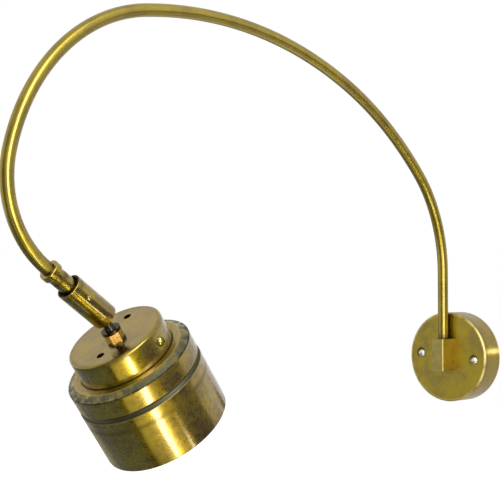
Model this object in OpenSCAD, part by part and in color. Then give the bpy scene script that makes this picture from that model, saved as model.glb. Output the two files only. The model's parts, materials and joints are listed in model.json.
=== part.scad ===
// Swan-neck wall lamp in antique brass: round wall plate, bent tube arm, ball joint and
// stepped lamp head. The wall is the plane y = 0, the room is on the -Y side and Z is up.
// The origin is the centre of the wall plate's back face.

/* [Wall plate] */
// Diameter of the round wall plate
plate_d = 86.6; // [75:0.2:120]
// How far the plate stands out from the wall
plate_depth = 25.6; // [22:0.2:40]
// Thickness of the plate's front
plate_front = 3; // [2.5:0.1:4]
// Thickness of the plate's side wall
plate_wall = 1.8; // [1.2:0.1:3]
// Bevel round the plate's front edge
plate_bevel = 1.2; // [0.4:0.1:2]
// Distance between the two plate screws
plate_screw_pitch = 60.8; // [50:0.2:66]
// Tilt of the line through the plate screws, as the lamp was drilled
screw_line_tilt = 4.8; // [-10:0.1:10]
// Diameter of the dished seat under each plate screw
screw_dish_d = 11.4; // [9:0.1:13]
// Depth of the dished seat
screw_dish_depth = 1.3; // [0.6:0.1:1.5]

/* [Wall strip] */
// Length of the steel fixing strip inside the plate
strip_l = 75; // [72:0.5:76]
// Width of the fixing strip
strip_w = 16; // [14:0.5:20]
// Thickness of the fixing strip
strip_t = 2; // [1.5:0.1:3]
// How far the strip's ends are set forward of its middle
strip_offset = 6; // [4:0.5:9]
// Distance between the two wall screw holes
wall_hole_pitch = 38; // [36:0.5:42]
// Diameter of the wall screw holes
wall_hole_d = 4.6; // [4:0.1:5.5]

/* [Terminal block] */
// Distance between the terminals
terminal_pitch = 8; // [7:0.1:8.5]
// Width of the terminal block, along the wires
terminal_w = 17; // [14:0.5:20]
// Height of the terminal block above the strip
terminal_h = 12.5; // [10:0.5:13]

/* [Arm block] */
// Width of the block that carries the arm
block_w = 13; // [12.5:0.1:18]
// How far the block stands out from the plate
block_out = 16.6; // [13:0.2:22]
// Height of the block
block_h = 30.6; // [30:0.1:40]
// Height of the block's centre above the plate's centre
block_up = 2.4; // [1:0.1:3]
// Depth of the tube's socket in the block
socket_depth = 12; // [8:0.5:14]
// Distance from the plate's face to the tube's axis
rise_out = 6.4; // [6:0.1:9]
// Outer diameter of the hollow nipple that holds the block
nipple_d = 8; // [7:0.1:9]
// Bore of the hollow nipple
nipple_bore = 5.8; // [4.5:0.1:6]
// Height of the nipple's axis below the plate's centre
nipple_drop = 4; // [3:0.1:4.5]

/* [Arm] */
// Outer diameter of the arm tube
tube_d = 10; // [9:0.1:11]
// Wall of the arm tube
tube_wall = 1; // [0.8:0.1:1.5]
// Straight rise of the tube above the block
rise = 63.8; // [40:0.1:100]
// Radius of the first bend, away from the wall
bend_1_r = 130; // [90:1:160]
// Angle of the first bend
bend_1_a = 45.5; // [35:0.5:50]
// Radius of the second bend, into the long crown
bend_2_r = 350; // [250:1:450]
// Angle of the second bend
bend_2_a = 22; // [15:0.5:30]
// Radius of the third bend, along the crown
bend_3_r = 410; // [300:1:480]
// Angle of the third bend
bend_3_a = 33; // [25:0.5:38]
// Radius of the fourth bend, over the outer end
bend_4_r = 149; // [110:1:180]
// Angle of the fourth bend
bend_4_a = 67; // [55:0.5:72]
// Radius of the last bend, back under the arm
bend_5_r = 74.5; // [60:0.5:100]
// Slope of the ball joint's sleeve below the horizontal
joint_pitch = 34; // [25:0.5:45]

/* [Ball joint] */
// Outer diameter of the collar at the tube's end
collar_d = 15.8; // [14.5:0.1:18]
// Length of the collar
collar_l = 5.4; // [3:0.1:7]
// Diameter of the neck between the collar and the sleeve
neck_d = 12.9; // [11.5:0.1:13.8]
// Distance from the end of the arm to the sleeve's upper end
neck_reach = 18.7; // [16:0.1:30]
// Depth of the tube's socket in the neck
neck_socket = 9; // [6:0.5:12]
// Outer diameter of the joint's sleeve
sleeve_d = 19.5; // [19.2:0.1:21]
// Length of the joint's sleeve
sleeve_l = 39.2; // [37:0.1:48]
// Wall of the joint's sleeve
sleeve_wall = 2.5; // [2.3:0.05:2.65]
// Diameter of the ball
ball_d = 14; // [13.6:0.1:14.2]
// Distance from the ball's centre to the sleeve's lower end
ball_depth = 3.4; // [3:0.1:4]
// Distance from the sleeve's upper end to its set screw
set_screw_at = 13.8; // [11:0.1:16]
// Turn of the set screw about the sleeve's axis
set_screw_turn = 5; // [-90:1:90]

/* [Stem] */
// Distance from the ball's centre to the top of the cap
stem_reach = 18.6; // [17:0.1:24]
// Slope of the head's axis below the horizontal
head_pitch = 53.7; // [45:0.1:60]
// Turn of the head about its own axis
head_turn = -17.5; // [-90:0.5:90]
// Diameter of the stem's threaded tail
stem_d = 8; // [7.5:0.1:9]
// Bore of the stem, for the wires
stem_bore = 4.4; // [4:0.1:4.8]
// Diameter of the dark collar above the nut
stem_collar_d = 14.4; // [13.9:0.1:16]
// Thickness of that collar
stem_collar_t = 2.4; // [1.5:0.1:3]
// Size of the stem's hexagon nuts across the flats
nut_flats = 12; // [11:0.1:13]
// Thickness of the nut above the cap
nut_t = 3.8; // [3:0.1:5]
// Thickness of the nut below the cap
inner_nut_t = 3.5; // [3:0.1:5]
// Thickness of the plain washers
washer_t = 1.2; // [0.8:0.1:1.6]

/* [Head] */
// Diameter of the cap
cap_d = 72.7; // [66:0.1:80]
// Height of the cap
cap_h = 19.6; // [18:0.1:30]
// Radius of the cap's rounded top edge
cap_round = 1.7; // [0.8:0.1:2]
// Thickness of the cap's top
cap_top = 2; // [1.5:0.1:3]
// Thickness of the cap's side wall
cap_wall = 1.6; // [1.2:0.1:2.5]
// Distance between the cap's two vent holes
vent_pitch = 46.4; // [40:0.2:54]
// Diameter of the vent holes
vent_d = 6; // [4:0.1:8]
// Distance from the cap's top to its side screws
cap_screw_at = 10; // [8.5:0.1:13]
// Turn of the side screws about the head's axis
cap_screw_turn = 4; // [-40:1:40]
// Diameter of the head's body
body_d = 97; // [94:0.2:112]
// Height of the body's outer wall, chamfer included
body_h = 17.1; // [14:0.1:24]
// Thickness of the body's walls
body_wall = 2.4; // [2:0.1:3.5]
// Width of the shoulder chamfer, inwards from the body's edge
shoulder_in = 6; // [3:0.1:7]
// Depth of the shoulder chamfer, along the axis
shoulder_down = 3.1; // [2:0.1:4]
// Wire opening through the body's web
web_hole_d = 36; // [24:1:40]
// Width of the dark gap between body and barrel
gap_w = 2; // [1:0.1:2.5]
// Diameter of the barrel
barrel_d = 97.8; // [97:0.2:114]
// Length of the barrel
barrel_l = 45.9; // [40:0.1:80]
// Bevel round the barrel's upper edge
barrel_bevel = 2.2; // [1:0.1:3]
// Thickness of the barrel's wall
barrel_wall = 1.5; // [1.2:0.1:2.5]
// Length of the body's spigot inside the barrel
spigot_l = 9; // [6:0.5:12]

/* [Lamp] */
// Diameter of the lamp holder
holder_d = 75; // [70:0.5:78]
// Height of the lamp holder
holder_h = 14; // [12:0.5:16]
// Distance between the lamp's two pins
pin_pitch = 53; // [52:0.5:55]
// Diameter of the lamp
lamp_d = 74; // [68:0.5:76]
// Height of the lamp's housing below the holder
lamp_h = 17; // [14:0.5:22]
// Height of the lamp's frosted dome
dome_h = 3.5; // [2:0.5:6]

/* [Fits] */
// Clearance all round between a shaft or spigot and its hole
fit = 0.05; // [0.02:0.01:0.1]
// Gap left between pieces that move past each other
gap = 0.3; // [0.2:0.05:0.5]

/* [Hidden] */
$fn = 96;

// Colours
brass = [0.62, 0.52, 0.24];
dark_brass = [0.42, 0.36, 0.20];
gold_brass = [0.78, 0.62, 0.34];
steel = [0.62, 0.63, 0.62];
nickel = [0.78, 0.79, 0.80];
black = [0.10, 0.10, 0.10];
cream = [0.86, 0.83, 0.74];
opal = [0.95, 0.95, 0.92];

// Fastener sizes
m3 = 3;
m4 = 4;
slot_w = 1;
short = 0.2;

// Wall side
plate_r = plate_d / 2;
plate_fillet = 1.5;
ear_w = 11;
ear_h = 13;
earth_up = strip_w / 2 + 7;
earth_head_d = 7;
earth_head_h = 2.4;
nipple_y = plate_front + washer_t;
nipple_nut_t = 3.5;
nipple_flats = 12;
nipple_spare = 1.2;
nipple_grip = 5;
wire_way_r = 2.5;
pin_d = 2;
plate_screw_head = 7.6;
pin_l = 6;
block_foot = block_up - block_h / 2;
block_top = block_up + block_h / 2;
pin_drop = -(block_foot + pin_d);
terminal_count = 3;
terminal_fixing_at = terminal_pitch / 2;
terminal_base = 3;
terminal_head_d = 5;
insert_up = terminal_h * 0.42;
insert_r = 2;
insert_bore = 1.3;
terminal_screw_d = m3 - 0.5;

// Arm: the tube's line is a straight rise and five bends that meet tangent
tube_r = tube_d / 2;
last_bend = 270 - joint_pitch - bend_1_a - bend_2_a - bend_3_a - bend_4_a;
bends = [
    [bend_1_r, bend_1_a], [bend_2_r, bend_2_a], [bend_3_r, bend_3_a],
    [bend_4_r, bend_4_a], [bend_5_r, last_bend]
];
tail = 3;
bend_lap = 0.3;
bend_ease = 0.02;
rise_start = [-(plate_depth + rise_out), block_top + rise];

// Heading of the tube before bend n, from straight up towards the room
function heading(n) = n == 0 ? 0 : heading(n - 1) + bends[n - 1][1];
function spoke(angle) = [cos(angle), sin(angle)];
function bend_start(n) = n == 0 ? rise_start
    : bend_centre(n - 1) + bends[n - 1][0] * spoke(heading(n));
function bend_centre(n) = bend_start(n) - bends[n][0] * spoke(heading(n));

joint_dir = [cos(joint_pitch), -sin(joint_pitch)];
arm_end = bend_start(len(bends));
joint_at = arm_end + tail * joint_dir;
ball_s = neck_reach + sleeve_l - ball_depth;
ball_at = joint_at + ball_s * joint_dir;

// Ball joint
collar_from = 1 - collar_l / 2;
bore_r = sleeve_d / 2 - sleeve_wall;
ball_r = ball_d / 2;
mouth_r = sqrt(pow(ball_r + fit, 2) - pow(ball_depth, 2));
plug_from = neck_reach + 4;
plug_to = neck_reach + 20.7;
groove_w = 3.4;
groove_deep = 1.2;
set_screw_d = 3;
spring_t = 0.9;
spring_rise = 0.8;
spring_count = 2;
seat_from = plug_to + spring_count * (spring_t + spring_rise) + fit;
seat_to = ball_s - 2.4;

// Head, measured along its axis from the top of the cap
stem_neck_r = 3;
stem_foot_r = 4.3;
cap_r = cap_d / 2;
cap_spigot_r = cap_r - cap_wall - fit;
web_from = cap_h;
body_r = body_d / 2;
body_to = cap_h + body_h;
barrel_from = body_to + gap_w;
barrel_r = barrel_d / 2;
barrel_to = barrel_from + barrel_l;
spigot_step = 1.4;
spigot_wall = 2;
spigot_r = barrel_r - barrel_bevel - spigot_step;
spigot_in = spigot_r - spigot_wall;
web_to = web_from + body_wall;
holder_from = web_to;
holder_to = holder_from + holder_h;
lamp_from = holder_to + gap;
lamp_to = lamp_from + lamp_h;
boss_r = 19;
boss_h = 9;
dome_seat = 1.5;
lamp_rim = 1.6;
pin_root = 3;
holder_bore_r = boss_r + 1;
holder_screw_pitch = 48;
holder_floor = 5;
holder_head_d = 5.6;
pin_r = 1.5;
pin_head_r = 2.5;
pin_head_t = 1.6;
pin_l_lamp = 6.5;
lock_angle = 22;

// Places a piece in the wall plate, turned with its screw line
module on_screw_line() { rotate([0, screw_line_tilt, 0]) children(); }

// Turns +Z to face the room, with the piece's foot on the wall plane
module facing_room(out = 0) { translate([0, -out, 0]) rotate([90, 0, 0]) children(); }

// Along the ball joint's axis, from just past the arm's last bend
module on_joint(along = 0) {
    translate([0, joint_at[0], joint_at[1]])
        rotate([-(90 + joint_pitch), 0, 0])
            translate([0, 0, along]) children();
}

// Along the head's axis, from the top of the cap
module on_head(along = 0) {
    translate([0, ball_at[0], ball_at[1]])
        rotate([-(90 + head_pitch), 0, 0])
            rotate([0, 0, head_turn])
                translate([0, 0, stem_reach + along]) children();
}

module ring(outer, inner, h) {
    difference() {
        cylinder(r = outer, h = h);
        translate([0, 0, -1]) cylinder(r = inner, h = h + 2);
    }
}

// A domed head on +Z with its flat side at z = 0
module dome(r, h) {
    crown = (r * r + h * h) / (2 * h);
    rotate_extrude() intersection() {
        translate([0, h - crown]) circle(r = crown, $fn = 240);
        square([r, h]);
    }
}

// Slotted screw: head on +Z from z = 0, shank on -Z
module slotted_screw(head_d, head_h, shank_d, shank_l) {
    difference() {
        union() {
            dome(head_d / 2, head_h);
            translate([0, 0, -shank_l]) cylinder(d = shank_d, h = shank_l + 0.5 * head_h);
        }
        translate([-head_d, -slot_w / 2, 0.5 * head_h]) cube([2 * head_d, slot_w, head_h]);
    }
}

module hex_nut(flats, thick, bore_d, turn = 0) {
    difference() {
        rotate([0, 0, turn]) cylinder(d = flats / cos(30), h = thick, $fn = 6);
        translate([0, 0, -1]) cylinder(d = bore_d, h = thick + 2);
    }
}

module wall_strip() {
    hole_margin = 5;
    flat_half = wall_hole_pitch / 2 + hole_margin;
    step_half = flat_half + strip_offset / 2;
    end_half = strip_l / 2;
    right = [
        [flat_half, 0], [step_half, strip_offset], [end_half, strip_offset],
        [end_half, strip_offset + strip_t], [step_half - strip_t / 2, strip_offset + strip_t],
        [flat_half - strip_t / 2, strip_t]
    ];
    left = [for (i = [len(right) - 1:-1:0]) [-right[i][0], right[i][1]]];
    color(steel) on_screw_line() difference() {
        union() {
            rotate([0, 0, 180]) translate([0, 0, -strip_w / 2])
                linear_extrude(height = strip_w) polygon(concat(left, right));
            translate([-ear_w / 2, -strip_t, 0]) cube([ear_w, strip_t, strip_w / 2 + ear_h]);
        }
        for (x = [-1, 1]) {
            translate([x * wall_hole_pitch / 2, 1, 0]) rotate([90, 0, 0])
                cylinder(d = wall_hole_d, h = strip_t + 2);
            translate([x * plate_screw_pitch / 2, 1, 0]) rotate([90, 0, 0])
                cylinder(d = m4 + 2 * fit, h = strip_offset + strip_t + 2);
        }
        translate([terminal_fixing_at, 1, 0]) rotate([90, 0, 0])
            cylinder(d = m3 + 2 * fit, h = strip_t + 2);
        translate([0, 1, earth_up]) rotate([90, 0, 0])
            cylinder(d = m4 + 2 * fit, h = strip_t + 2);
    }
}

module earth_screw() {
    color(brass) on_screw_line() translate([0, 0, earth_up]) {
        facing_room(strip_t + washer_t)
            slotted_screw(earth_head_d, earth_head_h, m4, strip_t + washer_t - short);
        facing_room(strip_t) ring(earth_head_d / 2 + 0.7, m4 / 2 + fit, washer_t);
    }
}

module terminal_block() {
    span = terminal_count * terminal_pitch;
    rib_d = terminal_pitch - 1;
    color(cream) on_screw_line() facing_room(strip_t) difference() {
        union() {
            translate([-span / 2, -terminal_w / 2, 0]) cube([span, terminal_w, terminal_base]);
            for (i = [0:terminal_count - 1]) translate([(i - 1) * terminal_pitch, 0, 0]) {
                translate([-rib_d / 2, -terminal_w / 2, 0])
                    cube([rib_d, terminal_w, insert_up + insert_r]);
                for (y = [-1, 1]) translate([0, y * terminal_w / 4, 0])
                    cylinder(d = rib_d, h = terminal_h);
            }
        }
        for (i = [0:terminal_count - 1]) translate([(i - 1) * terminal_pitch, 0, 0]) {
            translate([0, -terminal_w, insert_up]) rotate([-90, 0, 0])
                cylinder(r = insert_r + fit, h = 2 * terminal_w);
            for (y = [-1, 1]) translate([0, y * terminal_w / 4, insert_up])
                cylinder(d = terminal_screw_d + 1, h = terminal_h);
        }
        translate([terminal_fixing_at, 0, -1]) cylinder(d = m3 + 2 * fit, h = terminal_h);
        translate([terminal_fixing_at, 0, terminal_base])
            cylinder(d = terminal_head_d + 0.6, h = terminal_h);
    }
}

module terminal_inserts() {
    inset = 1.5;
    color(brass) on_screw_line() facing_room(strip_t)
        for (i = [0:terminal_count - 1]) translate([(i - 1) * terminal_pitch, 0, insert_up])
            difference() {
                rotate([90, 0, 0]) translate([0, 0, inset - terminal_w / 2])
                    ring(insert_r, insert_bore, terminal_w - 2 * inset);
                for (y = [-1, 1]) translate([0, y * terminal_w / 4, 0])
                    cylinder(d = terminal_screw_d + 2 * fit, h = 2 * insert_r);
                for (side = [-1, 1]) translate([side * terminal_pitch / 2, 0, -insert_r - 1])
                    cylinder(d = terminal_head_d + 0.7, h = 2 * insert_r + 2);
            }
}

module terminal_screws() {
    foot = insert_bore + 0.1;
    screw_l = terminal_h - insert_up - 2 * insert_bore;
    driver_w = 0.6;
    color(nickel) on_screw_line() facing_room(strip_t)
        for (i = [0:terminal_count - 1], y = [-1, 1])
            translate([(i - 1) * terminal_pitch, y * terminal_w / 4, insert_up + foot])
                difference() {
                    cylinder(d = terminal_screw_d, h = screw_l);
                    translate([-m3, -driver_w / 2, screw_l - 1]) cube([2 * m3, driver_w, 2]);
                }
}

module terminal_fixing_screw() {
    color(steel) on_screw_line() translate([terminal_fixing_at, 0, 0])
        facing_room(strip_t + terminal_base)
            slotted_screw(terminal_head_d, 1.8, m3, terminal_base + strip_t - short);
}

module wall_plate() {
    r = plate_r;
    color(brass) difference() {
        facing_room() rotate_extrude() polygon([
            [r - plate_wall, 0], [r, 0], [r, plate_depth - plate_bevel],
            [r - plate_bevel, plate_depth], [0, plate_depth], [0, plate_depth - plate_front],
            [r - plate_wall - plate_fillet, plate_depth - plate_front],
            [r - plate_wall, plate_depth - plate_front - plate_fillet]
        ]);
        on_screw_line() for (x = [-1, 1]) translate([x * plate_screw_pitch / 2, 0, 0]) {
            facing_room(plate_depth - plate_front - 1) cylinder(d = m4 + 0.4, h = plate_front + 2);
            facing_room(plate_depth - screw_dish_depth)
                cylinder(d1 = plate_screw_head + 0.3, d2 = screw_dish_d, h = screw_dish_depth + 0.01);
        }
        facing_room(plate_depth - plate_front - 1) {
            translate([0, -nipple_drop, 0]) cylinder(d = nipple_d + 2 * fit, h = plate_front + 2);
            translate([0, -pin_drop, 0]) cylinder(d = pin_d + 2 * fit, h = plate_front + 2);
        }
    }
}

module plate_screws() {
    color(nickel) on_screw_line() for (x = [-1, 1])
        translate([x * plate_screw_pitch / 2, 0, 0]) facing_room(plate_depth - screw_dish_depth)
            slotted_screw(plate_screw_head, 2.8, m4, plate_depth - screw_dish_depth - strip_offset + 1);
}

module arm_block() {
    w = block_w / 2;
    back = plate_depth;
    front = plate_depth + block_out;
    edge = 0.5;
    lead_in = 0.6;
    color(brass) difference() {
        translate([0, 0, block_foot]) linear_extrude(height = block_h) polygon([
            [-w, -back], [-w, -front + edge], [-w + edge, -front],
            [w - edge, -front], [w, -front + edge], [w, -back]
        ]);
        translate([0, rise_start[0], block_top - socket_depth])
            cylinder(r = tube_r + fit, h = socket_depth + 1);
        translate([0, rise_start[0], block_top - lead_in])
            cylinder(r1 = tube_r + fit, r2 = tube_r + fit + lead_in, h = lead_in + 0.01);
        translate([0, rise_start[0], -nipple_drop])
            cylinder(r = wire_way_r, h = block_top + nipple_drop);
        facing_room(plate_depth - 1) translate([0, -nipple_drop, 0]) {
            cylinder(d = nipple_d + 2 * fit, h = nipple_grip + 1);
            cylinder(d = nipple_bore, h = rise_out + wire_way_r + 1);
        }
        facing_room(plate_depth - 1) translate([0, -pin_drop, 0])
            cylinder(d = pin_d + 2 * fit, h = pin_l - plate_front + 1 + short);
    }
}

module locating_pin() {
    color(steel) facing_room(plate_depth - plate_front) translate([0, -pin_drop, 0])
        cylinder(d = pin_d, h = pin_l);
}

module nipple() {
    inside = nipple_y + nipple_nut_t + nipple_spare;
    color(brass) facing_room(plate_depth - inside) translate([0, -nipple_drop, 0])
        ring(nipple_d / 2, nipple_bore / 2, inside + nipple_grip - short);
}

module nipple_washer() {
    color(steel) facing_room(plate_depth - nipple_y) translate([0, -nipple_drop, 0])
        ring(nipple_d / 2 + 3.6, nipple_d / 2 + fit, washer_t);
}

module nipple_nut() {
    color(brass) facing_room(plate_depth - nipple_y - nipple_nut_t) translate([0, -nipple_drop, 0])
        hex_nut(nipple_flats, nipple_nut_t, nipple_d + 2 * fit);
}

// Cross-section of the arm's tube, eased from both faces of its wall
module tube_section(ease = 0) {
    difference() {
        circle(r = tube_r - ease);
        circle(r = tube_r - tube_wall + ease);
    }
}

// Every other bend is eased by a hair and laps into its neighbours, so that the bends join as one tube
module arm_bend(n) {
    eased = n % 2 == 0;
    lap = eased ? bend_lap / bends[n][0] * 180 / PI : 0;
    translate([0, bend_centre(n)[0], bend_centre(n)[1]])
        rotate([90, 0, 90]) rotate([0, 0, heading(n) - lap])
            rotate_extrude(angle = bends[n][1] + 2 * lap)
                translate([bends[n][0], 0]) tube_section(eased ? bend_ease : 0);
}

module arm_tube() {
    foot = block_top - socket_depth;
    color(brass) union() {
        translate([0, rise_start[0], foot])
            linear_extrude(height = rise_start[1] - foot) tube_section();
        for (n = [0:len(bends) - 1]) arm_bend(n);
        on_joint(-tail) linear_extrude(height = tail + neck_socket - 0.1) tube_section();
    }
}

module arm_collar() {
    r = collar_d / 2;
    edge = 1;
    color(brass) on_joint(collar_from) difference() {
        union() {
            translate([0, 0, edge]) cylinder(r = r, h = collar_l - 2 * edge);
            cylinder(r = r - edge, h = collar_l);
            for (z = [edge, collar_l - edge]) translate([0, 0, z])
                rotate_extrude() translate([r - edge, 0]) circle(r = edge);
        }
        translate([0, 0, -1]) cylinder(d = neck_d + 2 * fit, h = collar_l + 2);
    }
}

module joint_neck() {
    plug_r = bore_r - fit;
    neck_r = neck_d / 2;
    groove_at = neck_reach + set_screw_at;
    color(brass) on_joint() rotate_extrude() polygon([
        [tube_r + fit, collar_from], [neck_r, collar_from], [neck_r, plug_from],
        [plug_r, plug_from], [plug_r, groove_at - groove_w / 2],
        [plug_r - groove_deep, groove_at - groove_w / 2],
        [plug_r - groove_deep, groove_at + groove_w / 2],
        [plug_r, groove_at + groove_w / 2], [plug_r, plug_to],
        [tube_r - tube_wall, plug_to], [tube_r - tube_wall, neck_socket],
        [tube_r + fit, neck_socket]
    ]);
}

module joint_sleeve() {
    r = sleeve_d / 2;
    edge = 0.6;
    recess_r = bore_r + 0.95;
    recess = 3.5;
    color(brass) on_joint(neck_reach) difference() {
        rotate_extrude() polygon([
            [bore_r, recess], [recess_r, recess], [recess_r, 0], [r - edge, 0], [r, edge],
            [r, sleeve_l - edge], [r - edge, sleeve_l], [1, sleeve_l],
            [1, sleeve_l - ball_depth], [bore_r, sleeve_l - ball_depth]
        ]);
        translate([0, 0, sleeve_l - ball_depth]) sphere(r = ball_r + fit);
        translate([0, 0, sleeve_l - 0.5 * ball_depth]) cylinder(r = mouth_r, h = ball_depth);
        rotate([0, 0, set_screw_turn]) translate([0, 0, set_screw_at]) rotate([0, 90, 0])
            cylinder(d = set_screw_d + 2 * fit, h = r + 1);
    }
}

module set_screw() {
    tip = bore_r - groove_deep + 0.2;
    color(gold_brass) on_joint(neck_reach + set_screw_at)
        rotate([0, 0, set_screw_turn]) rotate([0, 90, 0])
            translate([0, 0, sleeve_d / 2])
                slotted_screw(set_screw_d + 1.4, 1.3, set_screw_d, sleeve_d / 2 - tip);
}

module disc_springs() {
    r = bore_r - 0.15;
    hole = 4.2;
    color(steel) for (i = [0:spring_count - 1])
        on_joint(plug_to + (i + 0.5) * (spring_t + spring_rise))
            mirror([0, 0, i % 2 == 0 ? 0 : 1])
                translate([0, 0, -(spring_t + spring_rise) / 2]) rotate_extrude() polygon([
                    [hole, spring_rise], [r, 0], [r, spring_t - 0.1],
                    [hole, spring_t + spring_rise - 0.1]
                ]);
}

module ball_seat() {
    seat_hole_r = 4.6;
    seat_l = seat_to - seat_from;
    color(cream) on_joint(seat_from) difference() {
        cylinder(r = bore_r - fit, h = seat_l);
        translate([0, 0, -1]) cylinder(r = seat_hole_r, h = seat_l + 2);
        translate([0, 0, ball_s - seat_from]) sphere(r = ball_r + fit);
    }
}

module ball_stem() {
    collar_from = stem_reach - nut_t - stem_collar_t;
    tail_to = stem_reach + cap_top + washer_t + inner_nut_t + 3;
    flare_r = 3.4;
    flare_from = 4.5;
    color(black) on_head(-stem_reach) difference() {
        union() {
            sphere(r = ball_r);
            cylinder(r = stem_neck_r, h = collar_from);
            translate([0, 0, ball_r])
                cylinder(r1 = stem_neck_r, r2 = stem_foot_r, h = collar_from - ball_r);
            translate([0, 0, collar_from]) cylinder(d = stem_collar_d, h = stem_collar_t);
            translate([0, 0, collar_from]) cylinder(d = stem_d, h = tail_to - collar_from);
        }
        translate([0, 0, -ball_d]) cylinder(d = stem_bore, h = ball_d + tail_to + 1);
        translate([0, 0, -ball_d]) cylinder(r = flare_r, h = ball_d - flare_from);
    }
}

module stem_nut() {
    color(gold_brass) on_head(-nut_t) rotate([0, 0, -head_turn])
        hex_nut(nut_flats, nut_t - fit, stem_d + 2 * fit, 2);
}

module inner_washer() {
    color(steel) on_head(cap_top + fit) ring(stem_d / 2 + 4.5, stem_d / 2 + fit, washer_t - fit);
}

module inner_nut() {
    color(steel) on_head(cap_top + washer_t)
        hex_nut(nut_flats, inner_nut_t, stem_d + 2 * fit, 20);
}

module head_cap() {
    r = cap_r;
    edge = [for (a = [90:-15:0]) [r - cap_round * (1 - cos(a)), cap_round * (1 - sin(a))]];
    color(brass) on_head() difference() {
        rotate_extrude() polygon(concat([[0, 0]], edge, [
            [r, cap_h], [r - cap_wall, cap_h], [r - cap_wall, cap_top + 1],
            [r - cap_wall - 1, cap_top], [0, cap_top]
        ]));
        translate([0, 0, -1]) cylinder(d = stem_d + 2 * fit, h = cap_top + 2);
        for (y = [-1, 1]) translate([0, y * vent_pitch / 2, -1])
            cylinder(d = vent_d, h = cap_top + 2);
        for (side = [0, 180]) rotate([0, 0, side + cap_screw_turn]) translate([0, 0, cap_screw_at])
            rotate([0, 90, 0]) cylinder(d = m4 + 2 * fit, h = r + 1);
    }
}

module cap_screws() {
    head_d = 8;
    head_h = 3.1;
    past_wall = 1;
    color(gold_brass) on_head(cap_screw_at) for (side = [0, 180])
        rotate([0, 0, side + cap_screw_turn]) rotate([0, 90, 0]) translate([0, 0, cap_r])
            slotted_screw(head_d, head_h, m4, cap_wall + body_wall + past_wall);
}

module head_body() {
    spigot_from = 5.5;
    flat_r = body_r - shoulder_in;
    color(brass) on_head() difference() {
        rotate_extrude() polygon([
            [cap_spigot_r - body_wall, spigot_from], [cap_spigot_r, spigot_from],
            [cap_spigot_r, web_from], [flat_r, web_from],
            [body_r, web_from + shoulder_down], [body_r, body_to - 0.4],
            [body_r - 0.4, body_to], [spigot_r, body_to], [spigot_r, barrel_from + spigot_l],
            [spigot_in, barrel_from + spigot_l], [spigot_in, web_to + shoulder_down],
            [spigot_in - shoulder_in + 1, web_to], [web_hole_d / 2, web_to],
            [web_hole_d / 2, web_from], [cap_spigot_r - body_wall, web_from]
        ]);
        for (side = [0, 180]) rotate([0, 0, side + cap_screw_turn]) translate([0, 0, cap_screw_at])
            rotate([0, 90, 0]) cylinder(d = m4 + 2 * fit, h = cap_r);
        for (x = [-1, 1]) translate([x * holder_screw_pitch / 2, 0, web_from - 1])
            cylinder(d = m3 + 2 * fit, h = body_wall + 2);
    }
}

module barrel_gasket() {
    inset = 0.3;
    color(black) on_head(body_to)
        ring(min(body_r, barrel_r - barrel_bevel) - inset, spigot_r + fit, gap_w);
}

module barrel() {
    r = barrel_r;
    color(brass) on_head() rotate_extrude() polygon([
        [spigot_r + fit, barrel_from], [r - barrel_bevel, barrel_from],
        [r, barrel_from + barrel_bevel],
        [r, barrel_to - 0.4], [r - 0.4, barrel_to], [r - barrel_wall, barrel_to],
        [r - barrel_wall, barrel_from + spigot_l + 2], [spigot_r + fit, barrel_from + spigot_l]
    ]);
}

// Keyhole for one lamp pin: a wide entry, a race for the pin's head and a narrow slot over it
module pin_slot() {
    r = pin_pitch / 2;
    skin = 3;
    depth = 9;
    head_room = pin_head_r + 0.4;
    shank_room = pin_r + 0.3;
    rotate([0, 0, -lock_angle]) {
        translate([r, 0, -depth]) cylinder(r = head_room + 0.1, h = depth + 1);
        for (way = [[head_room, -depth, depth - skin], [shank_room, -skin - 1, skin + 2]])
            translate([0, 0, way[1]]) rotate_extrude(angle = lock_angle + way[0] / r * 180 / PI)
                translate([r - way[0], 0]) square([2 * way[0], way[2]]);
    }
}

module lamp_holder() {
    r = holder_d / 2;
    edge = 1;
    color(cream) on_head(holder_from) difference() {
        rotate_extrude() polygon([
            [holder_bore_r, 0], [r - edge, 0], [r, edge], [r, holder_h - edge], [r - edge, holder_h],
            [holder_bore_r, holder_h]
        ]);
        for (side = [0, 180]) rotate([0, 0, side + 90]) translate([0, 0, holder_h]) pin_slot();
        for (x = [-1, 1]) translate([x * holder_screw_pitch / 2, 0, -1]) {
            cylinder(d = m3 + 2 * fit, h = holder_h + 2);
            translate([0, 0, holder_floor + 1]) cylinder(d = holder_head_d + 1, h = holder_h);
        }
    }
}

module holder_screws() {
    color(steel) on_head(holder_from + holder_floor) for (x = [-1, 1])
        translate([x * holder_screw_pitch / 2, 0, 0])
            slotted_screw(holder_head_d, 2, m3, holder_floor + body_wall - short);
}

module lamp_housing() {
    r = lamp_d / 2;
    flutes = 24;
    flute_r = 1.1;
    flute_from = 3;
    color(opal) on_head(lamp_from) difference() {
        union() {
            translate([0, 0, -boss_h]) cylinder(r = boss_r, h = boss_h + 1);
            cylinder(r = r, h = lamp_h);
        }
        translate([0, 0, lamp_h - dome_seat]) cylinder(r = r - lamp_rim, h = dome_seat + 1);
        for (i = [0:flutes - 1]) rotate([0, 0, i * 360 / flutes]) translate([r, 0, flute_from])
            cylinder(r = flute_r, h = lamp_h - 2 * flute_from - 1);
        for (side = [90, 270]) rotate([0, 0, side]) translate([pin_pitch / 2, 0, -1])
            cylinder(r = pin_r + fit, h = pin_root + 1);
    }
}

module lamp_pins() {
    color(nickel) on_head(lamp_from) for (side = [90, 270])
        rotate([0, 0, side]) translate([pin_pitch / 2, 0, -pin_l_lamp]) {
            cylinder(r = pin_r, h = pin_l_lamp + pin_root - short);
            cylinder(r = pin_head_r, h = pin_head_t);
        }
}

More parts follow.
